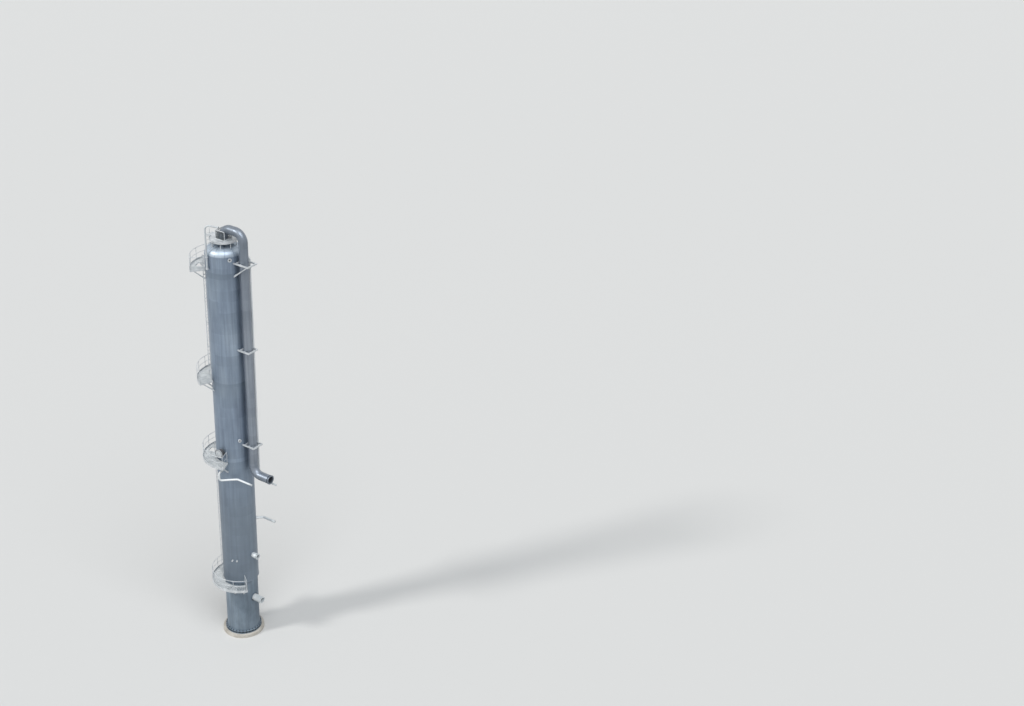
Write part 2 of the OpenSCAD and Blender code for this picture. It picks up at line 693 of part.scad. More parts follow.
module davit_brackets() {
    color(galvanised) difference() {
        union() {
            translate([davit_x, davit_y, up(davit_foot_z)]) cylinder(d = davit_d + 90, h = 30);
            translate([davit_x, davit_y, up(davit_foot_z)]) cylinder(d = davit_d + 50, h = 150);
            rotate([0, 0, davit_at]) translate([jacket_r - 40, -60, up(davit_foot_z)])
                cube([davit_r - jacket_r + 40, 120, 30]);
            translate([davit_x, davit_y, up(davit_guide_z)]) cylinder(d = davit_d + 60, h = 80);
            rotate([0, 0, davit_at]) translate([jacket_r - 40, -50, up(davit_guide_z) + 20])
                cube([davit_r - jacket_r + 40, 100, 40]);
        }
        translate([davit_x, davit_y, up(davit_foot_z) + 30]) cylinder(d = davit_d + 2 * davit_fit, h = 3000);
        translate([0, 0, up(davit_foot_z) - 100]) cylinder(r = jacket_r + seat, h = 1800, $fn = fine);
    }
}

// Sector deck with its edge channels and toe plate; the plate ends halfway into each channel
module sector_deck(i) {
    inner = jacket_r + deck_gap;
    half = edge_t / 2;
    z = up(deck_z[i]);
    ladder_hole = i == 1 ? ladder_at[1] : i == 3 ? ladder_at[3] : undef;
    color("#b9bfc3") difference() {
        union() {
            sector(inner + half, deck_r[i] - half, z - grating_t, grating_t, deck_from[i], deck_to[i]);
            sector(deck_r[i] - edge_t, deck_r[i], z - edge_d, edge_d + toe_h, deck_from[i], deck_to[i]);
            sector(inner, inner + edge_t, z - edge_d, edge_d - 3, deck_from[i], deck_to[i]);
            for (a = [deck_from[i], deck_to[i]]) rotate([0, 0, a])
                translate([inner + half, -half, z - edge_d + 1]) cube([deck_r[i] - inner - edge_t, edge_t, edge_d - 5]);
        }
        if (!is_undef(ladder_hole)) rotate([0, 0, ladder_hole])
            translate([inner - 50, -hatch_w / 2, z - edge_d - 10]) cube([hatch_l + 50, hatch_w, edge_d + 20]);
    }
}

arm_w = 70;
beam_h = 112;
post_d = rail_d - 6;
hatch_w = 720;
hatch_l = 780;

// Radial brackets under a deck, each with a knee brace and a pad on the jacket
module sector_brackets(i) {
    z = up(deck_z[i]) - grating_t - seat;
    inner = jacket_r + deck_gap + edge_t + 4;
    outer = deck_r[i] - edge_t - 4;
    wall_r = i == 0 ? skirt_r : jacket_r;
    color(galvanised) for (a = bracket_at[i]) rotate([0, 0, a]) difference() {
        union() {
            translate([inner, -arm_w / 2, z - beam_h]) cube([outer - inner, arm_w, beam_h]);
            translate([jacket_r - 130, -arm_w / 2, z - edge_d - 40]) cube([inner - jacket_r + 160, arm_w, edge_d - grating_t - 24]);
            translate([0, arm_w / 2, 0]) rotate([90, 0, 0]) linear_extrude(arm_w) polygon([
                [wall_r - 30, z - 980], [wall_r + 30, z - 980], [outer - 220, z - beam_h + 1],
                [outer - 300, z - beam_h + 1], [wall_r - 30, z - 880]]);
            translate([wall_r - 30, -90, z - 1010]) cube([45, 180, 180]);
        }
        translate([0, 0, up(jacket_foot_z) - 60]) cylinder(r = jacket_r + seat, h = tangent_top_z, $fn = fine);
        translate([0, 0, z - 1100]) cylinder(r = wall_r + seat, h = 1200, $fn = fine);
    }
}

// Handrail, knee rail and posts round the outer edge and the ends of a deck
module sector_railing(i) {
    z = up(deck_z[i]);
    r = deck_r[i] - edge_t - rail_d / 2 - 2;
    inner = jacket_r + deck_gap + 40;
    a_lo = deck_to[i] + asin((rail_d + 10) / r);
    a_hi = deck_from[i] - asin((rail_d + 10) / r);
    bays = ceil((a_hi - a_lo) * PI / 180 * r / 1250);
    side_exit = i == 0 ? ladder_at[0] : i == 2 ? ladder_at[2] : undef;
    color(galvanised) {
        bent_bar(r, z + rail_h - rail_d / 2, rail_d, a_lo, a_hi);
        bent_bar(r, z + rail_h / 2, knee_rail_d, a_lo, a_hi);
        for (k = [1 : bays - 1]) rotate([0, 0, a_lo + k * (a_hi - a_lo) / bays])
            translate([r, 0, z + seat]) cylinder(d = post_d, h = rail_h - rail_d / 2, $fn = 24);
        for (a = [a_lo, a_hi]) rotate([0, 0, a])
            translate([r, 0, z + seat]) cylinder(d = rail_d + 4, h = rail_h, $fn = 24);
        for (a = [a_lo, a_hi]) if (a == a_hi || is_undef(side_exit)) rotate([0, 0, a]) {
            translate([inner, 0, z + rail_h - rail_d / 2]) rotate([0, 90, 0])
                cylinder(d = rail_d - 2, h = r - inner, $fn = 24);
            translate([inner, 0, z + rail_h / 2]) rotate([0, 90, 0])
                cylinder(d = knee_rail_d - 2, h = r - inner, $fn = 24);
            translate([inner + post_d, 0, z + seat]) cylinder(d = post_d, h = rail_h - rail_d / 2, $fn = 24);
        }
    }
}

module lower_deck() sector_deck(0);
module lower_brackets() sector_brackets(0);
module lower_railing() sector_railing(0);
module mid_deck() sector_deck(1);
module mid_brackets() sector_brackets(1);
module mid_railing() sector_railing(1);
module second_deck() sector_deck(2);
module second_brackets() sector_brackets(2);
module second_railing() sector_railing(2);
module upper_deck() sector_deck(3);
module upper_brackets() sector_brackets(3);
module upper_railing() sector_railing(3);

// Outline of the top deck and its landing, drawn in by an inset
module top_outline(inset) {
    circle(top_r - inset, $fn = fine);
    rotate([0, 0, ladder_at[4]]) translate([0, inset - landing_w / 2])
        square([landing_r - inset, landing_w - 2 * inset]);
}

module top_deck() {
    color("#b9bfc3") translate([0, 0, up(top_z)]) difference() {
        union() {
            translate([0, 0, -grating_t]) linear_extrude(grating_t) top_outline(edge_t / 2);
            translate([0, 0, -90]) linear_extrude(170) difference() {
                top_outline(0);
                top_outline(edge_t);
            }
        }
        translate([0, 0, -200]) cylinder(d = vapour_out_d + 40, h = 400);
        rotate([0, 0, ladder_at[4]]) translate([landing_r - 60, edge_t + 5 - landing_w / 2, 2])
            cube([120, landing_w - 2 * edge_t - 10, 200]);
    }
}

module top_deck_legs() {
    foot_z = tangent_top_z + 300;
    color(galvanised) difference() {
        for (i = [0 : 7]) rotate([0, 0, 45 * i - 60]) translate([leg_r, 0, up(foot_z)])
            cylinder(d = 70, h = top_z - foot_z - grating_t - seat, $fn = 24);
        translate([0, 0, up(tangent_top_z)]) rotate_extrude($fn = fine)
            dish_outline(shell_id, shell_wall + insulation_t + seat);
    }
}

leg_r = 1050;

// Guard of square bars, with a panel on each side but the one the crossover leaves through
module riser_guard() {
    bar = 40;
    x0 = -guard_w / 2;
    color("#dfe3e5") translate([x0, 0, up(top_z) + seat]) {
        difference() {
            translate([0, -guard_w / 2, 0]) cube([guard_l, guard_w, bar]);
            translate([bar, bar - guard_w / 2, -1]) cube([guard_l - 2 * bar, guard_w - 2 * bar, bar + 2]);
        }
        translate([0, 0, guard_h - bar]) difference() {
            translate([0, -guard_w / 2, 0]) cube([guard_l, guard_w, bar]);
            translate([bar, bar - guard_w / 2, -1]) cube([guard_l, guard_w - 2 * bar, bar + 2]);
        }
        for (x = [0, guard_l - bar], y = [-guard_w / 2, guard_w / 2 - bar]) translate([x, y, bar / 2])
            cube([bar, bar, guard_h - bar]);
        translate([0, 0, bar / 2]) difference() {
            translate([15, 15 - guard_w / 2, 0]) cube([guard_l - 30, guard_w - 30, guard_h - bar]);
            translate([25, 25 - guard_w / 2, -1]) cube([guard_l, guard_w - 50, guard_h]);
        }
    }
}

// Ladder at a bearing, from one height to another, with stand-off clips on the jacket
module ladder(bearing, z0, z1, over, wall_r) {
    rise = z1 - z0 + over;
    rungs = floor((z1 - z0) / rung_pitch);
    x = jacket_r + ladder_gap;
    clips = max(2, ceil((z1 - z0) / 2600) + 1);
    clip_rise = min(z1 - 800, up(tangent_top_z) - 200) - z0 - 500;
    color(galvanised) rotate([0, 0, bearing]) difference() {
        union() {
            for (s = [-1, 1]) translate([x - stile_d / 2, s * (ladder_w + stile_t) / 2 - stile_t / 2, z0])
                cube([stile_d, stile_t, rise]);
            for (k = [1 : rungs]) translate([x, 0, z1 - (k - 1) * rung_pitch]) rotate([90, 0, 0])
                cylinder(d = rung_d, h = ladder_w + stile_t, center = true, $fn = 12);
            for (k = [0 : clips - 1], s = [-1, 1])
                translate([wall_r - 30, s * (ladder_w + stile_t) / 2 - stile_t / 2, z0 + 500 + k * clip_rise / (clips - 1)])
                    cube([x - wall_r + 30, stile_t, 70]);
        }
        translate([0, 0, z0 - 100]) cylinder(r = wall_r + seat, h = rise + 200, $fn = fine);
    }
}

module ladder_1() ladder(ladder_at[0], ring_z + seat, up(deck_z[0]), stile_over, skirt_r);
module ladder_2() ladder(ladder_at[1], up(deck_z[0]) + seat, up(deck_z[1]), stile_over, jacket_r);
module ladder_3() ladder(ladder_at[2], up(deck_z[1]) + seat, up(deck_z[2]), stile_over, jacket_r);
module ladder_4() ladder(ladder_at[3], up(deck_z[2]) + seat, up(deck_z[3]), stile_over, jacket_r);
module ladder_5() ladder(ladder_at[4], up(deck_z[3]) + seat, up(top_z), 400, jacket_r);

plinth();
base_ring();
anchor_bolts();
skirt();
bottom_head();
bottom_line();
shell();
jacket();
top_head();
head_jacket();
vapour_line();
pipe_bracket_upper();
pipe_bracket_middle();
pipe_bracket_lower();
reflux_line();
feed_line();
draw_off_line();
reboiler_return();
manway();
manway_cover();
instrument_nozzles();
davit();
davit_brackets();
top_deck();
top_deck_legs();
riser_guard();
lower_deck();
lower_brackets();
lower_railing();
mid_deck();
mid_brackets();
mid_railing();
second_deck();
second_brackets();
second_railing();
upper_deck();
upper_brackets();
upper_railing();
ladder_1();
ladder_2();
ladder_3();
ladder_4();
ladder_5();
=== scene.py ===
import bpy
import bmesh
import math
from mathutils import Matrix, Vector


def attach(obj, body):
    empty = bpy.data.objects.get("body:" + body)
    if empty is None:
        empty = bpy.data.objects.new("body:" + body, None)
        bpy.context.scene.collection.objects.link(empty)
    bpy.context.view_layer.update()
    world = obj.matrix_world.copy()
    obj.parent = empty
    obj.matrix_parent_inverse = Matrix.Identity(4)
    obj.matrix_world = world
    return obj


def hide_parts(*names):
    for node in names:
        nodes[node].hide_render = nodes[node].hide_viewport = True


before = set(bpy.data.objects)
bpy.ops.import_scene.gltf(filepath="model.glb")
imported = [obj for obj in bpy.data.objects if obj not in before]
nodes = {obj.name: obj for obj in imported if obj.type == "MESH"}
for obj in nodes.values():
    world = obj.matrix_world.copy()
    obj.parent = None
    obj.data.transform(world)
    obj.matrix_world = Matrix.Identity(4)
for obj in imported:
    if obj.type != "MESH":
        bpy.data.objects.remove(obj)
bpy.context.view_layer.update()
print("frame loaded", len(nodes), "nodes")

scene = bpy.context.scene
jacketRadius = 1.55


def linear(hexText):
    # sRGB hex to linear RGBA
    parts = [int(hexText[i:i + 2], 16) / 255 for i in (1, 3, 5)]
    return [p / 12.92 if p <= 0.04045 else ((p + 0.055) / 1.055) ** 2.4 for p in parts] + [1.0]


def addNode(tree, kind, settings=None, inputs=None):
    # one node with its settings; an input that is a socket is linked, anything else is a value
    node = tree.nodes.new(kind)
    for key, value in (settings or {}).items():
        setattr(node, key, value)
    for key, value in (inputs or {}).items():
        socket = node.inputs[key]
        if isinstance(value, bpy.types.NodeSocket):
            tree.links.new(value, socket)
        else:
            socket.default_value = value
    return node


def makeMaterial(name):
    material = bpy.data.materials.new(name)
    material.use_nodes = True
    tree = material.node_tree
    tree.nodes.clear()
    shader = addNode(tree, "ShaderNodeBsdfPrincipled")
    addNode(tree, "ShaderNodeOutputMaterial", inputs={"Surface": shader.outputs[0]})
    place = addNode(tree, "ShaderNodeTexCoord").outputs["Object"]
    return material, tree, shader, place


def ramp(tree, factor, stops):
    node = addNode(tree, "ShaderNodeValToRGB", inputs={"Fac": factor})
    bar = node.color_ramp
    while len(bar.elements) < len(stops):
        bar.elements.new(0.5)
    for element, (position, colour) in zip(bar.elements, stops):
        element.position = position
        element.color = linear(colour) if isinstance(colour, str) else (colour, colour, colour, 1)
    return node.outputs["Color"]


def noise(tree, place, stretch, scale, detail, rough):
    # noise with its own stretch in x, y, z; scale is in features per metre
    moved = addNode(tree, "ShaderNodeMapping", inputs={"Vector": place, "Scale": stretch})
    return addNode(tree, "ShaderNodeTexNoise", inputs={
        "Vector": moved.outputs[0], "Scale": scale, "Detail": detail, "Roughness": rough}).outputs["Fac"]


def mixColour(tree, factor, first, second, blend="MIX"):
    node = addNode(tree, "ShaderNodeMix", {"data_type": "RGBA", "blend_type": blend})
    for socket, value in ((node.inputs[0], factor), (node.inputs[6], first), (node.inputs[7], second)):
        if isinstance(value, bpy.types.NodeSocket):
            tree.links.new(value, socket)
        else:
            socket.default_value = value
    return node.outputs[2]


def maths(tree, operation, first, second=0.0):
    node = addNode(tree, "ShaderNodeMath", {"operation": operation})
    for socket, value in zip(node.inputs, (first, second)):
        if isinstance(value, bpy.types.NodeSocket):
            tree.links.new(value, socket)
        else:
            socket.default_value = value
    return node.outputs[0]


def finishSurface(tree, shader, colour, roughness, metallic, height, strength, distance):
    tree.links.new(colour, shader.inputs["Base Color"])
    tree.links.new(roughness, shader.inputs["Roughness"])
    shader.inputs["Metallic"].default_value = metallic
    bump = addNode(tree, "ShaderNodeBump", inputs={
        "Height": height, "Strength": strength, "Distance": distance})
    tree.links.new(bump.outputs[0], shader.inputs["Normal"])


def weatheredAluminium(name, look):
    # rolled aluminium sheet, weathered outdoors: matt oxide, each sheet its own tone, rain streaks
    # that run down, slight oil-canning that makes broad soft dents
    material, tree, shader, place = makeMaterial(name)
    split = addNode(tree, "ShaderNodeSeparateXYZ", inputs={"Vector": place})
    x, y, z = split.outputs[0], split.outputs[1], split.outputs[2]
    rise = maths(tree, "SUBTRACT", z, look["courseFoot"])
    course = maths(tree, "FLOOR", maths(tree, "DIVIDE", rise, look["courseHeight"]))
    turn = maths(tree, "DIVIDE", maths(tree, "ARCTAN2", y, x), 2 * math.pi)
    shifted = maths(tree, "ADD", turn, maths(tree, "MULTIPLY", course, look["courseShift"]))
    sheet = maths(tree, "FLOOR", maths(tree, "MULTIPLY", maths(tree, "FRACT", shifted), look["sheetsRound"]))
    cell = addNode(tree, "ShaderNodeCombineXYZ", inputs={"X": course, "Y": sheet, "Z": 3.0})
    tone = addNode(tree, "ShaderNodeTexWhiteNoise", {"noise_dimensions": "3D"},
                   {"Vector": cell.outputs[0]}).outputs["Value"]
    broad = noise(tree, place, (1, 1, 0.35), 0.55, 3.0, 0.55)           # patches about 2 m across
    streak = noise(tree, place, (1, 1, 0.035), 5.5, 4.0, 0.6)           # rain streaks, 180 mm wide
    fine = noise(tree, place, (1, 1, 0.06), 42.0, 2.0, 0.6)             # thin runs, 24 mm wide
    base = ramp(tree, broad, [(0.30, look["dark"]), (0.52, look["mid"]), (0.74, look["pale"])])
    toned = mixColour(tree, look["sheetTone"], base, ramp(tree, tone, [(0.0, 0.36), (1.0, 0.62)]), "OVERLAY")
    wetRuns = ramp(tree, streak, [(0.36, 0.30), (0.62, 0.56)])
    streaked = mixColour(tree, look["streakTone"], toned, wetRuns, "OVERLAY")
    thinRuns = ramp(tree, fine, [(0.35, 0.40), (0.65, 0.58)])
    colour = mixColour(tree, look["streakTone"] * 0.5, streaked, thinRuns, "OVERLAY")
    for foot in look.get("paintedDeckShade", ()):
        # painted shade: darker runs under a platform, standing in for the deck's shadow, fading downwards over
        # about 2 m
        under = maths(tree, "SUBTRACT", foot, z)
        fade = addNode(tree, "ShaderNodeMapRange", {"clamp": True}, {
            "Value": under, "From Min": 0.0, "From Max": 2.4, "To Min": 1.0, "To Max": 0.0}).outputs[0]
        below = maths(tree, "MULTIPLY", maths(tree, "GREATER_THAN", under, 0.0), fade)
        amount = maths(tree, "MULTIPLY", below, maths(tree, "MULTIPLY", streak, 0.55))
        colour = mixColour(tree, amount, colour, linear("#5e6a72"))
    if "paintedLowShade" in look:
        # painted shade of neighbouring plant: the lower sheets are mixed towards a darker grey, fully below 12
        # m and fading out by 18 m
        low, high, amount, tone = look["paintedLowShade"]
        fade = addNode(tree, "ShaderNodeMapRange", {"clamp": True}, {
            "Value": z, "From Min": low, "From Max": high, "To Min": amount, "To Max": 0.0}).outputs[0]
        colour = mixColour(tree, fade, colour, linear(tone))
    rough = maths(tree, "ADD", look["roughness"] - 0.06, maths(tree, "MULTIPLY", broad, 0.14))
    dents = noise(tree, place, (1, 1, 0.8), 1.7, 1.0, 0.4)              # oil-canning, 0.6 m across
    dimple = noise(tree, place, (1, 1, 1), 260.0, 1.0, 0.5)             # stucco grain, 4 mm
    height = maths(tree, "ADD", maths(tree, "MULTIPLY", dents, 1.0), maths(tree, "MULTIPLY", dimple, 0.015))
    finishSurface(tree, shader, colour, rough, look["metallic"], height, 0.35, 0.02)
    return material


def galvanisedSteel(name, look):
    # hot-dip galvanised steel: dull zinc with soft spangle about 25 mm across and pale bloom in patches
    material, tree, shader, place = makeMaterial(name)
    spangle = addNode(tree, "ShaderNodeTexVoronoi", inputs={"Vector": place, "Scale": 38.0, "Randomness": 1.0})
    facet = addNode(tree, "ShaderNodeSeparateColor", inputs={"Color": spangle.outputs["Color"]}).outputs[0]
    bloom = noise(tree, place, (1, 1, 1), 3.0, 3.0, 0.6)
    base = ramp(tree, bloom, [(0.32, look["dark"]), (0.55, look["mid"]), (0.75, look["pale"])])
    colour = mixColour(tree, 0.22, base, ramp(tree, facet, [(0.0, 0.38), (1.0, 0.62)]), "OVERLAY")
    rough = maths(tree, "ADD", look["roughness"] - 0.08, maths(tree, "MULTIPLY", facet, 0.14))
    height = noise(tree, place, (1, 1, 1), 180.0, 2.0, 0.5)
    finishSurface(tree, shader, colour, rough, look["metallic"], height, 0.12, 0.002)
    return material


def brushedPaint(name, look):
    # two-pack paint, rolled on: orange peel about 3 mm, chalked patches, rust bleeding where the film is thin
    material, tree, shader, place = makeMaterial(name)
    chalk = noise(tree, place, (1, 1, 0.5), look.get("patch", 1.4), 4.0, 0.6)
    run = noise(tree, place, (1, 1, 0.05), look.get("run", 9.0), 3.0, 0.6)
    base = ramp(tree, chalk, [(0.30, look["dark"]), (0.52, look["mid"]), (0.74, look["pale"])])
    wetRuns = ramp(tree, run, [(0.36, 0.32), (0.66, 0.58)])
    runs = mixColour(tree, look.get("runTone", 0.3), base, wetRuns, "OVERLAY")
    spots = noise(tree, place, (1, 1, 0.6), 7.0, 5.0, 0.7)
    rust = ramp(tree, spots, [(look.get("rustFrom", 0.70), 0.0), (look.get("rustFrom", 0.70) + 0.07, 1.0)])
    colour = mixColour(tree, maths(tree, "MULTIPLY", rust, look.get("rust", 0.4)), runs, linear("#7d5a45"))
    rough = maths(tree, "ADD", look["roughness"], maths(tree, "MULTIPLY", chalk, 0.12))
    peel = noise(tree, place, (1, 1, 1), 320.0, 1.0, 0.5)
    finishSurface(tree, shader, colour, rough, 0.0, peel, 0.10, 0.001)
    return material


def millSteel(name, look):
    # hot-rolled plate with mill scale: blue-black skin broken by brown rust, rough in places
    material, tree, shader, place = makeMaterial(name)
    scalePatch = noise(tree, place, (1, 1, 1), 4.0, 5.0, 0.65)
    base = ramp(tree, scalePatch, [(0.35, look["dark"]), (0.55, look["mid"]), (0.7, look["pale"])])
    grit = noise(tree, place, (1, 1, 1), 90.0, 3.0, 0.6)
    rough = maths(tree, "ADD", look["roughness"], maths(tree, "MULTIPLY", grit, 0.2))
    finishSurface(tree, shader, base, rough, look["metallic"], grit, 0.25, 0.002)
    return material


def castConcrete(name, look):
    # cast in place against boards: sandy grain and small blowholes
    material, tree, shader, place = makeMaterial(name)
    patch = noise(tree, place, (1, 1, 1), 1.1, 5.0, 0.6)
    base = ramp(tree, patch, [(0.32, look["dark"]), (0.52, look["mid"]), (0.7, look["pale"])])
    holes = addNode(tree, "ShaderNodeTexVoronoi", inputs={"Vector": place, "Scale": 30.0}).outputs["Distance"]
    pits = ramp(tree, holes, [(0.05, 0.0), (0.12, 1.0)])
    grain = noise(tree, place, (1, 1, 1), 140.0, 3.0, 0.6)
    colour = mixColour(tree, 0.25, base, ramp(tree, grain, [(0.3, 0.36), (0.7, 0.60)]), "OVERLAY")
    height = maths(tree, "ADD", maths(tree, "MULTIPLY", grain, 0.4), pits)
    rough = maths(tree, "ADD", 0.82, maths(tree, "MULTIPLY", grain, 0.12))
    finishSurface(tree, shader, colour, rough, 0.0, height, 0.3, 0.003)
    return material


deckHeights = (5.60, 18.26, 25.80, 35.78)
materials = {
    # flat sheet over the vessel's insulation
    "jacket": weatheredAluminium("weatheredAluminiumSheet", {
        "dark": "#7d8a9c", "mid": "#8a98a9", "pale": "#98a5b4", "roughness": 0.42, "metallic": 0.78,
        "courseFoot": 5.86, "courseHeight": 0.98, "courseShift": 0.137, "sheetsRound": 4.0,
        # painted shade: the deck heights darken the sheet under each platform
        # painted shade: the lower sheets are darkened below 18 m
        "sheetTone": 0.30, "streakTone": 0.35, "paintedDeckShade": deckHeights, "paintedLowShade": (12.0, 18.0, 0.60, "#727c85")}),
    # the domed top, paler than the sides: painted reflection of the bright sky overhead
    "paintedReflectionHead": weatheredAluminium("aluminiumSheetPaintedSkyReflection", {
        "dark": "#9ba7b4", "mid": "#abb7c2", "pale": "#bdc7d0", "roughness": 0.48, "metallic": 0.78,
        "courseFoot": 5.86, "courseHeight": 0.98, "courseShift": 0.137, "sheetsRound": 4.0,
        "sheetTone": 0.20, "streakTone": 0.25}),
    # duller, slightly warmer sheet on the overhead line
    "lineSheet": weatheredAluminium("dullAluminiumSheet", {
        "dark": "#7a838e", "mid": "#89919c", "pale": "#99a0a9", "roughness": 0.40, "metallic": 0.76,
        "courseFoot": 0.2, "courseHeight": 0.9, "courseShift": 0.31, "sheetsRound": 2.0,
        "sheetTone": 0.30, "streakTone": 0.30}),
    "paleSheet": weatheredAluminium("whitePaintedSheet", {
        "dark": "#c6cccf", "mid": "#d6dadc", "pale": "#e2e5e6", "roughness": 0.45, "metallic": 0.20,
        "courseFoot": 0.2, "courseHeight": 0.9, "courseShift": 0.31, "sheetsRound": 2.0,
        "sheetTone": 0.20, "streakTone": 0.25}),
    "galvanised": galvanisedSteel("hotDipGalvanisedSteel", {
        "dark": "#b2b7bb", "mid": "#c6cacd", "pale": "#dadddf", "roughness": 0.50, "metallic": 0.25}),
    # painted light: paler and less metallic than the other galvanised steel, standing in for the sunlit deck
    # tops
    "grating": galvanisedSteel("paleLitGratingBar", {
        "dark": "#cdd1d3", "mid": "#dcdfe0", "pale": "#e8eaeb", "roughness": 0.60, "metallic": 0.10}),
    "skirt": brushedPaint("slateBluePaint", {
        "dark": "#5c6a77", "mid": "#6c7a87", "pale": "#7d8b97", "roughness": 0.50,
        "patch": 0.9, "run": 6.0, "runTone": 0.40, "rust": 0.45, "rustFrom": 0.70}),
    "guard": brushedPaint("whiteGuardPaint", {
        "dark": "#c9cdcf", "mid": "#dadddf", "pale": "#e6e8e9", "roughness": 0.45,
        "rust": 0.25, "rustFrom": 0.74}),
    "davit": brushedPaint("greyDavitPaint", {
        "dark": "#a9aeb2", "mid": "#bcc1c4", "pale": "#cdd1d3", "roughness": 0.42,
        "rust": 0.35, "rustFrom": 0.72}),
    "bolting": millSteel("oiledBoltSteel", {
        "dark": "#2f3133", "mid": "#46494b", "pale": "#6b5a4c", "roughness": 0.42, "metallic": 0.8}),
    "plate": millSteel("hotRolledPlate", {
        "dark": "#47494c", "mid": "#5d5f62", "pale": "#7a6a5e", "roughness": 0.50, "metallic": 0.6}),
    "mesh": millSteel("weatheredWeldmesh", {
        "dark": "#5d6468", "mid": "#747b7f", "pale": "#8b9194", "roughness": 0.50, "metallic": 0.6}),
    "sealant": brushedPaint("agedSealant", {
        "dark": "#a08a55", "mid": "#b59c62", "pale": "#c4ae78", "roughness": 0.6, "rust": 0.2}),
    "concrete": castConcrete("castConcrete", {"dark": "#a9a49b", "mid": "#bbb6ad", "pale": "#c9c5bd"}),
}

nodeFinish = {
    "concrete": ["plinth"],
    "skirt": ["skirt", "base_ring"],
    "bolting": ["anchor_bolts"],
    "plate": ["bottom_head", "shell", "top_head", "manway"],
    "jacket": ["jacket"],
    "paintedReflectionHead": ["head_jacket"],
    "lineSheet": ["vapour_line"],
    "paleSheet": ["reflux_line", "feed_line", "draw_off_line", "bottom_line", "reboiler_return"],
    "guard": ["riser_guard"],
    "davit": ["davit"],
}
finishOf = {node: key for key, names in nodeFinish.items() for node in names}
for name, thing in nodes.items():
    thing.data.materials.clear()
    thing.data.materials.append(materials[finishOf.get(name, "galvanised")])
    for polygon in thing.data.polygons:
        polygon.material_index = 0
print("materials on", len(nodes), "nodes")


def newObject(name, mesh, body="column", finish="galvanised"):
    thing = bpy.data.objects.new(name, mesh)
    scene.collection.objects.link(thing)
    if finish:
        mesh.materials.clear()
        mesh.materials.append(materials[finish])
    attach(thing, body)
    return thing


def meshFrom(name, build):
    work = bmesh.new()
    build(work)
    mesh = bpy.data.meshes.new(name)
    work.to_mesh(mesh)
    work.free()
    return mesh


def turned(bearing, x, y, z):
    angle = math.radians(bearing)
    return Vector((x * math.cos(angle) - y * math.sin(angle), x * math.sin(angle) + y * math.cos(angle), z))


def pointCloud(name, rows):
    # rows of place, size (x, y, z) and heading (euler angles), as attributes on loose vertices
    mesh = bpy.data.meshes.new(name)
    mesh.from_pydata([row[0] for row in rows], [], [])
    size = mesh.attributes.new("size", "FLOAT_VECTOR", "POINT")
    heading = mesh.attributes.new("heading", "FLOAT_VECTOR", "POINT")
    size.data.foreach_set("vector", [value for row in rows for value in row[1]])
    heading.data.foreach_set("vector", [value for row in rows for value in row[2]])
    thing = bpy.data.objects.new(name, mesh)
    scene.collection.objects.link(thing)
    return thing


def openTree(name, sockets):
    tree = bpy.data.node_groups.new(name, "GeometryNodeTree")
    tree.interface.new_socket("Geometry", in_out="INPUT", socket_type="NodeSocketGeometry")
    identifiers = {}
    for label, (kind, value) in sockets.items():
        made = tree.interface.new_socket(label, in_out="INPUT", socket_type=kind)
        if value is not None:
            made.default_value = value
        identifiers[label] = made.identifier
    tree.interface.new_socket("Geometry", in_out="OUTPUT", socket_type="NodeSocketGeometry")
    start = addNode(tree, "NodeGroupInput")
    return tree, start, identifiers


def closeTree(tree, geometry, material):
    real = addNode(tree, "GeometryNodeRealizeInstances", inputs={"Geometry": geometry})
    painted = addNode(tree, "GeometryNodeSetMaterial", inputs={
        "Geometry": real.outputs[0], "Material": material})
    addNode(tree, "NodeGroupOutput", inputs={"Geometry": painted.outputs[0]})


def applyTree(thing, tree, identifiers, values, name, body):
    # runs the tree once and keeps its result as a plain mesh
    modifier = thing.modifiers.new("make", "NODES")
    modifier.node_group = tree
    for label, value in values.items():
        modifier[identifiers[label]] = value
    view = bpy.context.evaluated_depsgraph_get()
    mesh = bpy.data.meshes.new_from_object(thing.evaluated_get(view))
    thing.modifiers.remove(modifier)
    bpy.data.objects.remove(thing)
    mesh.name = name
    result = bpy.data.objects.new(name, mesh)
    scene.collection.objects.link(result)
    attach(result, body)
    return result


def namedVector(tree, name):
    return addNode(tree, "GeometryNodeInputNamedAttribute", {"data_type": "FLOAT_VECTOR"}, {"Name": name})


# bars and plates: one block for each point, its size and heading read from the points
barTree, barStart, barInputs = openTree("laidBars", {
    "Scale": ("NodeSocketFloat", 1.0), "Material": ("NodeSocketMaterial", None)})
sizeOf = namedVector(barTree, "size")
headingOf = namedVector(barTree, "heading")
barBlock = addNode(barTree, "GeometryNodeMeshCube", inputs={"Size": (1, 1, 1)})
barSize = addNode(barTree, "ShaderNodeVectorMath", {"operation": "SCALE"}, {
    0: sizeOf.outputs["Attribute"], "Scale": barStart.outputs["Scale"]})
barLaid = addNode(barTree, "GeometryNodeInstanceOnPoints", inputs={
    "Points": barStart.outputs["Geometry"], "Instance": barBlock.outputs["Mesh"],
    "Rotation": headingOf.outputs["Attribute"], "Scale": barSize.outputs[0]})
closeTree(barTree, barLaid.outputs[0], barStart.outputs["Material"])

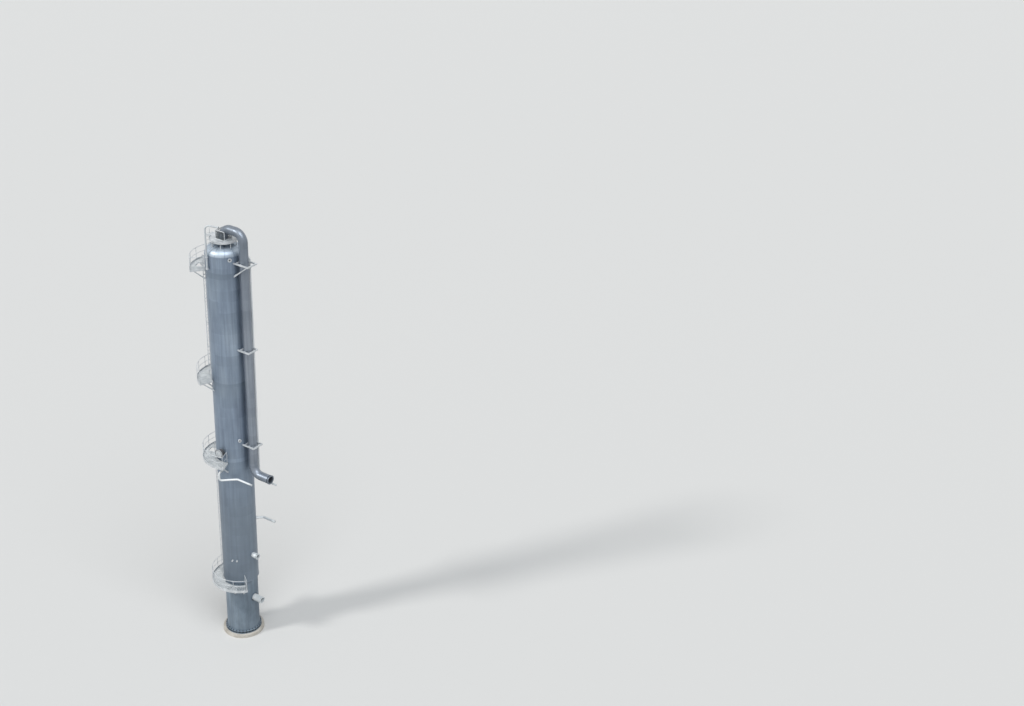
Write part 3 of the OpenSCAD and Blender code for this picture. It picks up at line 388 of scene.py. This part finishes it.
# studs with a hexagon nut at each point, along the point's own local z
studTree, studStart, studInputs = openTree("nutsAndStuds", {
    "Nut Size": ("NodeSocketFloat", 0.05), "Nut Height": ("NodeSocketFloat", 0.03),
    "Stud Size": ("NodeSocketFloat", 0.03), "Stud Length": ("NodeSocketFloat", 0.1),
    "Material": ("NodeSocketMaterial", None)})
studHeading = namedVector(studTree, "heading")
acrossCorners = 0.577          # a hexagon's corner radius for its width across flats
nutRadius = maths(studTree, "MULTIPLY", studStart.outputs["Nut Size"], acrossCorners)
studRadius = maths(studTree, "MULTIPLY", studStart.outputs["Stud Size"], 0.5)
nutBody = addNode(studTree, "GeometryNodeMeshCylinder", inputs={
    "Vertices": 6, "Radius": nutRadius, "Depth": studStart.outputs["Nut Height"]})
studBody = addNode(studTree, "GeometryNodeMeshCylinder", inputs={
    "Vertices": 8, "Radius": studRadius, "Depth": studStart.outputs["Stud Length"]})
studPair = addNode(studTree, "GeometryNodeJoinGeometry")
studTree.links.new(nutBody.outputs["Mesh"], studPair.inputs[0])
studTree.links.new(studBody.outputs["Mesh"], studPair.inputs[0])
studLaid = addNode(studTree, "GeometryNodeInstanceOnPoints", inputs={
    "Points": studStart.outputs["Geometry"], "Instance": studPair.outputs[0],
    "Rotation": studHeading.outputs["Attribute"]})
closeTree(studTree, studLaid.outputs[0], studStart.outputs["Material"])

# raised lap beads round a line or the vessel, one at each step along a path
lapTree, lapStart, lapInputs = openTree("lapBeads", {
    "Radius": ("NodeSocketFloat", 0.3), "Bead": ("NodeSocketFloat", 0.006), "Step": ("NodeSocketFloat", 0.9),
    "Sides": ("NodeSocketInt", 48), "Material": ("NodeSocketMaterial", None)})
lapPath = addNode(lapTree, "GeometryNodeMeshToCurve", inputs={"Mesh": lapStart.outputs["Geometry"]})
lapSteps = addNode(lapTree, "GeometryNodeCurveToPoints", {"mode": "LENGTH"}, {
    "Curve": lapPath.outputs[0], "Length": lapStart.outputs["Step"]})
lapRing = addNode(lapTree, "GeometryNodeCurvePrimitiveCircle", inputs={
    "Resolution": lapStart.outputs["Sides"], "Radius": lapStart.outputs["Radius"]})
lapWire = addNode(lapTree, "GeometryNodeCurvePrimitiveCircle", inputs={
    "Resolution": 6, "Radius": lapStart.outputs["Bead"]})
lapMesh = addNode(lapTree, "GeometryNodeCurveToMesh", inputs={
    "Curve": lapRing.outputs[0], "Profile Curve": lapWire.outputs[0]})
lapLaid = addNode(lapTree, "GeometryNodeInstanceOnPoints", inputs={
    "Points": lapSteps.outputs["Points"], "Instance": lapMesh.outputs[0],
    "Rotation": lapSteps.outputs["Rotation"]})
closeTree(lapTree, lapLaid.outputs[0], lapStart.outputs["Material"])


def layBars(name, rows, finish):
    return applyTree(pointCloud(name + "Points", rows), barTree, barInputs,
                     {"Scale": 1.0, "Material": materials[finish]}, name, "column")


def layStuds(name, rows, look):
    return applyTree(pointCloud(name + "Points", rows), studTree, studInputs, {
        "Nut Size": look["nut"], "Nut Height": look["nutHeight"], "Stud Size": look["stud"],
        "Stud Length": look["length"], "Material": materials["bolting"]}, name, "column")


def layLaps(name, path, radius, bead, step, finish, sides=48):
    mesh = bpy.data.meshes.new(name + "Path")
    mesh.from_pydata(path, [(i, i + 1) for i in range(len(path) - 1)], [])
    thing = bpy.data.objects.new(name + "Path", mesh)
    scene.collection.objects.link(thing)
    return applyTree(thing, lapTree, lapInputs, {
        "Radius": radius, "Bead": bead, "Step": step, "Sides": sides, "Material": materials[finish]},
        name, "column")


print("trees ready")


platforms = {
    "lower": {"z": 5.60, "out": 2.55, "right": -35.0, "left": -200.0, "hatch": None},
    "mid": {"z": 18.26, "out": 2.70, "right": -68.5, "left": -224.0, "hatch": -165.0},
    "second": {"z": 25.80, "out": 2.78, "right": -111.0, "left": -200.0, "hatch": None},
    "upper": {"z": 35.78, "out": 2.82, "right": -126.0, "left": -196.0, "hatch": -157.0},
}
deckLook = {
    "inner": 1.61, "depth": 0.14, "plate": 0.010, "toe": 0.11, "flange": 0.055, "flangeThick": 0.008,
    "panelTurn": 24.0, "gap": 0.004, "pitch": 0.0343, "barWidth": 0.005, "barDepth": 0.032,
    "rodPitch": 0.10, "rodSize": 0.008, "hatchHalf": 0.36, "hatchOut": 2.39,
}


def sweepRound(work, profile, right, left, steps):
    # closed profile of (radius, height) swept about the column's axis, capped unless it closes on itself
    whole = abs(left - right) >= 359.9
    rings = []
    for k in range(steps if whole else steps + 1):
        bearing = right + (left - right) * k / steps
        rings.append([work.verts.new(turned(bearing, r, 0, z)) for r, z in profile])
    count = len(profile)
    for k in range(steps if whole else steps):
        here, there = rings[k], rings[(k + 1) % len(rings)]
        for i in range(count):
            j = (i + 1) % count
            work.faces.new((here[i], here[j], there[j], there[i]))
    if not whole:
        work.faces.new(rings[0][::-1])
        work.faces.new(rings[-1])
    bmesh.ops.recalc_face_normals(work, faces=work.faces[:])


def deckPanels(look):
    # bearings of the panels' two sides, with the hatch in a panel of its own
    spans = [(look["left"], look["right"], False)]
    if look["hatch"] is not None:
        wide = math.degrees(math.asin((deckLook["hatchHalf"] + 0.012) / deckLook["inner"]))
        low, high = look["hatch"] - wide, look["hatch"] + wide
        spans = [(look["left"], low, False), (low, high, True), (high, look["right"], False)]
    panels = []
    for low, high, hatch in spans:
        count = 1 if hatch else max(1, math.ceil((high - low) / deckLook["panelTurn"]))
        turn = (high - low) / count
        panels += [(low + turn * k, low + turn * (k + 1), hatch) for k in range(count)]
    return panels


def gratingRows(look):
    d = deckLook
    rows = []
    inner, outer = d["inner"] + d["plate"] + 0.004, look["out"] - d["plate"] - 0.004
    top = look["z"]
    for low, high, hatch in deckPanels(look):
        middle, half = (low + high) / 2, math.radians((high - low) / 2)
        heading = (0.0, 0.0, math.radians(middle))
        widest = outer * math.sin(half)
        count = int(widest / d["pitch"])
        for k in range(-count, count + 1):
            y = k * d["pitch"]
            first = max(math.sqrt(inner ** 2 - min(y * y, inner ** 2)), (abs(y) + d["gap"]) / math.tan(half))
            if hatch and abs(y) < d["hatchHalf"] + 0.01:
                first = d["hatchOut"] + 0.012
            last = math.sqrt(outer ** 2 - y * y)
            if last - first > 0.05:
                rows.append((turned(middle, (first + last) / 2, y, top - d["barDepth"] / 2),
                             (last - first, d["barWidth"], d["barDepth"]), heading))
        for side in (-1, 1):                       # banding bars down the two sides of a panel
            bearing = middle + side * math.degrees(half)
            aside = -side * (d["gap"] / 2 + d["barWidth"] / 2)
            rows.append((turned(bearing, (inner + outer) / 2, aside, top - d["barDepth"] / 2),
                         (outer - inner, d["barWidth"], d["barDepth"]), (0.0, 0.0, math.radians(bearing))))
        x = math.ceil(inner / d["rodPitch"]) * d["rodPitch"]
        while x < outer - 0.02:
            reach = min(x * math.tan(half), math.sqrt(max(outer ** 2 - x * x, 0))) - d["gap"]
            pieces = [(-reach, reach)]
            if hatch and x < d["hatchOut"] + 0.02:
                pieces = [(-reach, -d["hatchHalf"] - 0.012), (d["hatchHalf"] + 0.012, reach)]
            for first, last in pieces:
                if last - first > 0.03:
                    rows.append((turned(middle, x, (first + last) / 2, top - d["rodSize"] / 2),
                                 (d["rodSize"], last - first, d["rodSize"]), heading))
            x += d["rodPitch"]
    return rows


def edgeRows(look):
    # straight channels across the ends, and the trimmers round the hatch
    d = deckLook
    rows = []
    inner, outer, top = d["inner"] + d["plate"] / 2, look["out"] - d["plate"] / 2, look["z"]
    for bearing, inward in ((look["right"], -1), (look["left"], 1)):
        middle, heading = (inner + outer) / 2, (0.0, 0.0, math.radians(bearing))
        rows.append((turned(bearing, middle, 0, top - 0.0715), (outer - inner, d["plate"], 0.135), heading))
        for z in (top - d["depth"] + 0.005, top - d["barDepth"] - 0.008):
            rows.append((turned(bearing, middle, inward * (d["flange"] / 2 + 0.004), z),
                         (outer - inner, d["flange"], d["flangeThick"]), heading))
    if look["hatch"] is not None:
        heading = (0.0, 0.0, math.radians(look["hatch"]))
        half, out = d["hatchHalf"], d["hatchOut"]
        for side in (-1, 1):
            rows.append((turned(look["hatch"], (inner + out) / 2, side * (half + 0.005), top - 0.055),
                         (out - inner, 0.008, 0.10), heading))
        rows.append((turned(look["hatch"], out + 0.004, 0, top - 0.055),
                     (0.008, 2 * half + 0.02, 0.10), heading))
    return rows


def edgeChannel(look):
    d = deckLook
    out, inner, top = look["out"], d["inner"], look["z"]
    low, thick, plate, flange = top - d["depth"], d["flangeThick"], d["plate"], d["flange"]
    seat = top - d["barDepth"] - 0.002
    web, lip, toe = out - plate, out - flange, top + d["toe"]
    outer = [(out, low), (out, toe - 0.003), (out - 0.003, toe), (web, toe), (web, seat), (lip, seat),
             (lip, seat - thick), (web, seat - thick), (web, low + thick), (lip, low + thick), (lip, low)]
    inside = [(inner, low), (inner + flange, low), (inner + flange, low + thick), (inner + plate, low + thick),
              (inner + plate, seat - thick), (inner + flange, seat - thick), (inner + flange, seat),
              (inner + plate, seat), (inner + plate, top - 0.003), (inner, top - 0.003)]
    cuts = [(look["right"], look["left"])]
    if look["hatch"] is not None:
        wide = math.degrees(math.asin(d["hatchHalf"] / inner))
        cuts = [(look["right"], look["hatch"] + wide), (look["hatch"] - wide, look["left"])]

    def build(work):
        parts = [(outer, look["right"], look["left"])] + [(inside, a, b) for a, b in cuts]
        for profile, right, left in parts:
            piece = bmesh.new()
            sweepRound(piece, profile, right, left, max(8, int(abs(left - right) / 1.5)))
            spare = bpy.data.meshes.new("spare")
            piece.to_mesh(spare)
            piece.free()
            work.from_mesh(spare)
            bpy.data.meshes.remove(spare)
    return meshFrom("edge", build)


for name, look in platforms.items():
    floor = layBars(name + "DeckGrating", gratingRows(look), "grating")
    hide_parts(name + "_deck")
    newObject(name + "DeckEdge", edgeChannel(look))
    layBars(name + "DeckTrimmers", edgeRows(look), "galvanised")
print("sector platforms")


topLook = {"z": 38.28, "hole": 0.40, "thick": 0.006, "foot": 0.001, "height": 0.05}


def topRim(work):
    # collar round the riser, standing on the plate
    look = topLook
    near, far = look["hole"], look["hole"] + look["thick"]
    low, high = look["z"] + look["foot"], look["z"] + look["height"]
    sweepRound(work, [(near, low), (far, low), (far, high), (near, high)], 0, 360, 72)


newObject("topDeckCollar", meshFrom("topDeckCollar", topRim))
print("top deck")


# welded frame with wire mesh on three sides, open where the crossover leaves
guardLook = {"near": -0.45, "far": 0.55, "half": 0.45, "bar": 0.04, "height": 0.78, "foot": 38.2803,
             "wire": 0.006, "pitch": 0.03}


def guardRows(look):
    near, far, half, bar, foot, height = (look[key] for key in ("near", "far", "half", "bar", "foot", "height"))
    middle, long, wide = (near + far) / 2, far - near - 2 * bar, 2 * half - 2 * bar
    rows = [(Vector((x, y, foot + height / 2)), (bar, bar, height), (0, 0, 0))
            for x in (near + bar / 2, far - bar / 2) for y in (bar / 2 - half, half - bar / 2)]
    for z in (foot + bar / 2, foot + height - bar / 2):
        for s in (-1, 1):
            rows.append((Vector((middle, s * (half - bar / 2), z)), (long, bar, bar), (0, 0, 0)))
        rows.append((Vector((near + bar / 2, 0, z)), (bar, wide, bar), (0, 0, 0)))
    rows.append((Vector((far - bar / 2, 0, foot + bar / 2)), (bar, wide, bar), (0, 0, 0)))
    return rows


def guardWires(look):
    near, far, half, bar, foot, height = (look[key] for key in ("near", "far", "half", "bar", "foot", "height"))
    wire, pitch, rows = look["wire"], look["pitch"], []
    low, high, middle, level = foot + bar, foot + height - bar, (near + far) / 2, foot + height / 2
    long, wide = far - near - 2 * bar, 2 * half - 2 * bar
    for k in range(int(long / pitch)):
        x = near + bar + (k + 0.5) * long / int(long / pitch)
        rows += [(Vector((x, side * (half - bar / 2), level)), (wire, wire, high - low), (0, 0, 0))
                 for side in (-1, 1)]
    for k in range(int(wide / pitch)):
        y = bar - half + (k + 0.5) * wide / int(wide / pitch)
        rows.append((Vector((near + bar / 2, y, level)), (wire, wire, high - low), (0, 0, 0)))
    for k in range(int((high - low) / pitch)):
        z = low + (k + 0.5) * (high - low) / int((high - low) / pitch)
        rows += [(Vector((middle, side * (half - bar / 2 - wire), z)), (long, wire, wire), (0, 0, 0))
                 for side in (-1, 1)]
        rows.append((Vector((near + bar / 2 + wire, 0, z)), (wire, wide, wire), (0, 0, 0)))
    return rows


guardFrame = layBars("riserGuardFrame", guardRows(guardLook), "guard")
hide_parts("riser_guard")
layBars("riserGuardMesh", guardWires(guardLook), "mesh")
print("riser guard")


jacketLook = {"foot": 5.86, "top": 37.15, "course": 0.98, "bead": 0.007, "sheets": 4, "shift": 0.137,
              "lapWide": 0.045, "lapThick": 0.004, "screwStep": 0.16}


def jacketSeams(look):
    laps, screws = [], []
    course = 0
    while look["foot"] + course * look["course"] < look["top"] - 0.05:
        low = look["foot"] + course * look["course"]
        high = min(low + look["course"], look["top"])
        for k in range(look["sheets"]):
            bearing = 360 * (k / look["sheets"] - course * look["shift"])
            heading = (0.0, 0.0, math.radians(bearing))
            laps.append((turned(bearing, jacketRadius + look["lapThick"] / 2 - 0.001, 0, (low + high) / 2),
                         (look["lapThick"], look["lapWide"], high - low - 0.012), heading))
            z = low + look["screwStep"] / 2
            while z < high - 0.04:
                screws.append((turned(bearing, jacketRadius + look["lapThick"] + 0.001, 0, z), (1, 1, 1),
                               (0.0, math.pi / 2, math.radians(bearing))))
                z += look["screwStep"]
        course += 1
    return laps, screws


jacketLaps, jacketScrews = jacketSeams(jacketLook)
layBars("jacketSideLaps", jacketLaps, "jacket")
layStuds("jacketScrews", jacketScrews, {"nut": 0.012, "nutHeight": 0.006, "stud": 0.004, "length": 0.008})
layLaps("jacketBeads", [(0, 0, jacketLook["foot"] + jacketLook["course"] * k) for k in (1, 32)],
        jacketRadius, jacketLook["bead"], jacketLook["course"], "jacket", 96)
headLook = {"crown": 2.39, "crownZ": 35.6226, "knuckle": 0.5812, "knuckleR": 0.9688, "tangent": 37.15,
            "gores": 12, "hole": 0.42, "lapWide": 0.04, "lapThick": 0.008}


def headOutline(look):
    # (radius, height) down the dished jacket, from the riser to the tangent line
    points = []
    meet = math.atan2(look["knuckleR"], look["tangent"] - look["crownZ"])
    start = math.asin(look["hole"] / look["crown"])
    for k in range(9):
        a = start + (meet - start) * k / 8
        points.append((look["crown"] * math.sin(a), look["crownZ"] + look["crown"] * math.cos(a)))
    for k in range(1, 11):
        a = meet + (math.pi / 2 - meet) * k / 10
        points.append((look["knuckleR"] + look["knuckle"] * math.sin(a),
                       look["tangent"] + look["knuckle"] * math.cos(a)))
    return points


headRows = []
headLine = headOutline(headLook)
for k in range(headLook["gores"]):
    bearing = 360 * (k + 0.5) / headLook["gores"]
    for (r0, z0), (r1, z1) in zip(headLine, headLine[1:]):
        length = math.hypot(r1 - r0, z1 - z0)
        headRows.append((turned(bearing, (r0 + r1) / 2, 0, (z0 + z1) / 2),
                         (length + 0.004, headLook["lapWide"], headLook["lapThick"]),
                         (0.0, math.atan2(z0 - z1, r1 - r0), math.radians(bearing))))
layBars("headGoreLaps", headRows, "jacket")


# profiles as (radius, height), and the bearings between which the sealant at the jacket's foot is left
bandLook = {
    "foot": [(1.452, 5.855), (1.572, 5.835), (1.576, 5.842), (1.552, 5.90), (1.5495, 5.90), (1.5495, 5.862),
             (1.452, 5.862)],
    "head": [(1.5495, 37.10), (1.556, 37.10), (1.556, 37.19), (1.5495, 37.19)],
    "sealant": [(1.441, 5.822), (1.462, 5.818), (1.466, 5.838), (1.441, 5.854)],
    "sealed": ((-118, -94), (-86, -71), (-62, -40)),
}


def layBand(name, profile, finish, right=0, left=360, steps=144):
    mesh = meshFrom(name, lambda work: sweepRound(work, profile, right, left, steps))
    newObject(name, mesh, "column", finish)


layBand("jacketFootFlashing", bandLook["foot"], "jacket")
layBand("headFlashing", bandLook["head"], "jacket")
for k, (right, left) in enumerate(bandLook["sealed"]):
    layBand("footSealant%d" % (k + 1), bandLook["sealant"], "sealant", right, left, 24)
print("jacket joints")


vapourLook = {"radius": 0.3805, "bend": 0.80, "bead": 0.007, "step": 0.9, "gore": 0.2094, "endStep": 0.45,
              "x": 2.12, "top": 39.19, "low": 17.05, "end": 3.85}
refluxLook = {"radius": 0.0852, "bead": 0.0035, "step": 0.9, "place": (2.13, 0.66), "top": 36.55, "low": 16.6}


def arcPath(centre, radius, first, last, steps=24):
    # quarter bend in the plane y = 0, angles from +x towards +z
    path = []
    for k in range(steps + 1):
        angle = math.radians(first + (last - first) * k / steps)
        path.append((centre[0] + radius * math.cos(angle), 0, centre[1] + radius * math.sin(angle)))
    return path


def lineLaps(name, path, step):
    look = vapourLook
    layLaps(name, path, look["radius"], look["bead"], look[step], "lineSheet")


bendR, downX, lineTop, lineLow = (vapourLook[key] for key in ("bend", "x", "top", "low"))
lineLaps("riserGores", arcPath((bendR, lineTop - bendR), bendR, 180, 90), "gore")
lineLaps("crossoverGores", arcPath((downX - bendR, lineTop - bendR), bendR, 90, 0), "gore")
lineLaps("downcomerLaps", [(downX, 0, lineTop - bendR - 0.35), (downX, 0, lineLow + bendR + 0.2)], "step")
lineLaps("outletGores", arcPath((downX + bendR, lineLow + bendR), bendR, 180, 270), "gore")
lineLaps("outletLaps", [(downX + bendR + 0.3, 0, lineLow), (vapourLook["end"] - 0.02, 0, lineLow)], "endStep")
refluxPath = [(*refluxLook["place"], refluxLook[key]) for key in ("top", "low")]
layLaps("refluxLaps", refluxPath, refluxLook["radius"], refluxLook["bead"], refluxLook["step"], "paleSheet", 24)
print("line joints")


footLook = {"size": (0.066, 0.11, 0.012), "bay": 1.25, "inset": 0.036, "half": 0.058}
railFeet = []
for name, look in platforms.items():
    r = look["out"] - footLook["inset"]
    trim = math.degrees(math.asin(footLook["half"] / r))
    low, high = look["left"] + trim, look["right"] - trim
    bays = math.ceil(math.radians(high - low) * r / footLook["bay"])
    for k in range(bays + 1):
        bearing = low + k * (high - low) / bays
        railFeet.append((turned(bearing, r - 0.002, 0, look["z"] + footLook["size"][2] / 2),
                         footLook["size"], (0, 0, math.radians(bearing))))
layBars("railFeet", railFeet, "galvanised")

manwayLook = {"bearing": -90.0, "z": 19.11, "pcd": 0.70, "count": 20, "near": 1.838, "far": 1.962,
              "nut": 0.046, "nutHeight": 0.024, "stud": 0.027, "length": 0.062}
manwayStuds = []
for k in range(manwayLook["count"]):
    angle = 2 * math.pi * (k + 0.5) / manwayLook["count"]
    across, up = manwayLook["pcd"] / 2 * math.sin(angle), manwayLook["pcd"] / 2 * math.cos(angle)
    for x in (manwayLook["near"], manwayLook["far"]):
        manwayStuds.append((turned(manwayLook["bearing"], x, across, manwayLook["z"] + up), (1, 1, 1),
                            (0, math.pi / 2, math.radians(manwayLook["bearing"]))))
layStuds("manwayStuds", manwayStuds, manwayLook)

# painted shade: dark discs at the bottoms of the open instrument nozzles' bores, standing in for the shade
# inside the deep bores, each as (bearing, height, bore)
boreLook = {"out": 1.575, "sides": 24, "places": (
    (-32.0, 37.02, 0.1485), (-30.0, 20.40, 0.135), (-71.0, 8.25, 0.0675), (-57.0, 8.25, 0.0675))}


def boreShadeDiscs(work):
    sides = boreLook["sides"]
    for bearing, height, bore in boreLook["places"]:
        edge = bore / 2 - 0.001
        for k in range(sides):
            a, b = 2 * math.pi * k / sides, 2 * math.pi * (k + 1) / sides
            corners = [turned(bearing, boreLook["out"], r * math.sin(t), height + r * math.cos(t))
                       for r, t in ((0.0, 0.0), (edge, b), (edge, a))]
            work.faces.new([work.verts.new(corner) for corner in corners])


newObject("nozzleBoreShade", meshFrom("nozzleBoreShade", boreShadeDiscs), "column", "bolting")

davitLook = {"bearing": -102.0, "mastR": 1.69, "rest": 14.0, "reach": 1.25, "arm": 39.85, "radius": 0.075,
             "sides": 32}


def davitEnd(work):
    # closing plate welded on the arm's end
    look = davitLook
    base = turned(look["bearing"], look["mastR"], 0, 0)
    near, far, wide = look["reach"] + 0.0003, look["reach"] + 0.008, look["radius"] - 0.007
    outline = [(near, 0.0005), (near, wide), (far - 0.002, wide), (far, wide - 0.004), (far, 0.0005)]
    rings = []
    for k in range(look["sides"]):
        a = 2 * math.pi * k / look["sides"]
        ring = [turned(look["rest"], x, r * math.cos(a), look["arm"] + r * math.sin(a)) for x, r in outline]
        rings.append([work.verts.new(base + corner) for corner in ring])
    for k, here in enumerate(rings):
        there = rings[(k + 1) % look["sides"]]
        for i in range(len(outline)):
            j = (i + 1) % len(outline)
            work.faces.new((here[i], here[j], there[j], there[i]))
    bmesh.ops.recalc_face_normals(work, faces=work.faces[:])


newObject("davitTip", meshFrom("davitTip", davitEnd), "davit", "plate")
print("small fittings")


floorLook = {"half": 900.0, "colour": "#cccccb", "roughness": 0.9}


def paleFloor():
    mesh = bpy.data.meshes.new("studioFloor")
    wide = floorLook["half"]
    corners = [(-wide, -wide, 0), (wide, -wide, 0), (wide, wide, 0), (-wide, wide, 0)]
    mesh.from_pydata(corners, [], [(0, 1, 2, 3)])
    floor = bpy.data.objects.new("studioFloor", mesh)
    scene.collection.objects.link(floor)
    material, tree, shader, place = makeMaterial("paleFloorPaint")
    shader.inputs["Base Color"].default_value = linear(floorLook["colour"])
    shader.inputs["Roughness"].default_value = floorLook["roughness"]
    mesh.materials.append(material)


paleFloor()

# a key from the left and a higher, broader fill from in front on the right, each as (strength,
# softness in degrees, place, colour)
lightLook = {
    "key": (1.6, 9.0, (-0.66, -1.05, 0.95), (1.0, 0.985, 0.96)),
    "fill": (1.9, 45.0, (0.57, -0.43, 1.15), (0.96, 0.98, 1.0)),
}
worldStrength = 0.40
for name, (strength, softness, place, colour) in lightLook.items():
    sun = bpy.data.lights.new(name, "SUN")
    sun.energy, sun.angle, sun.color = strength, math.radians(softness), colour
    lamp = bpy.data.objects.new(name, sun)
    scene.collection.objects.link(lamp)
    lamp.rotation_euler = Vector(place).to_track_quat("Z", "Y").to_euler()

world = bpy.data.worlds.new("studio")
scene.world = world
world.use_nodes = True
sky = world.node_tree
sky.nodes.clear()
light = addNode(sky, "ShaderNodeBackground", inputs={"Color": (0.93, 0.97, 1.0, 1), "Strength": worldStrength})
white = addNode(sky, "ShaderNodeBackground", inputs={"Color": (1, 1, 1, 1), "Strength": 1.0})
path = addNode(sky, "ShaderNodeLightPath")
seen = path.outputs["Is Camera Ray"]
for ray in ("Is Glossy Ray", "Is Transmission Ray"):
    seen = maths(sky, "MAXIMUM", seen, path.outputs[ray])
both = addNode(sky, "ShaderNodeMixShader", inputs={0: seen, 1: light.outputs[0], 2: white.outputs[0]})
addNode(sky, "ShaderNodeOutputWorld", inputs={"Surface": both.outputs[0]})

cameraLook = {"place": (81.4418, -84.3814, 87.0257), "turn": (63.17067443, -1.95155673, 33.41340783),
              "lens": 54.578834, "sensor": 36.0}
cameraData = bpy.data.cameras.new("photoCamera")
cameraData.sensor_width, cameraData.lens = cameraLook["sensor"], cameraLook["lens"]
cameraData.clip_start, cameraData.clip_end = 1.0, 3000.0
camera = bpy.data.objects.new("photoCamera", cameraData)
scene.collection.objects.link(camera)
camera.location = cameraLook["place"]
camera.rotation_euler = [math.radians(a) for a in cameraLook["turn"]]
scene.camera = camera
scene.view_settings.view_transform = "Standard"
print("floor, light and camera")
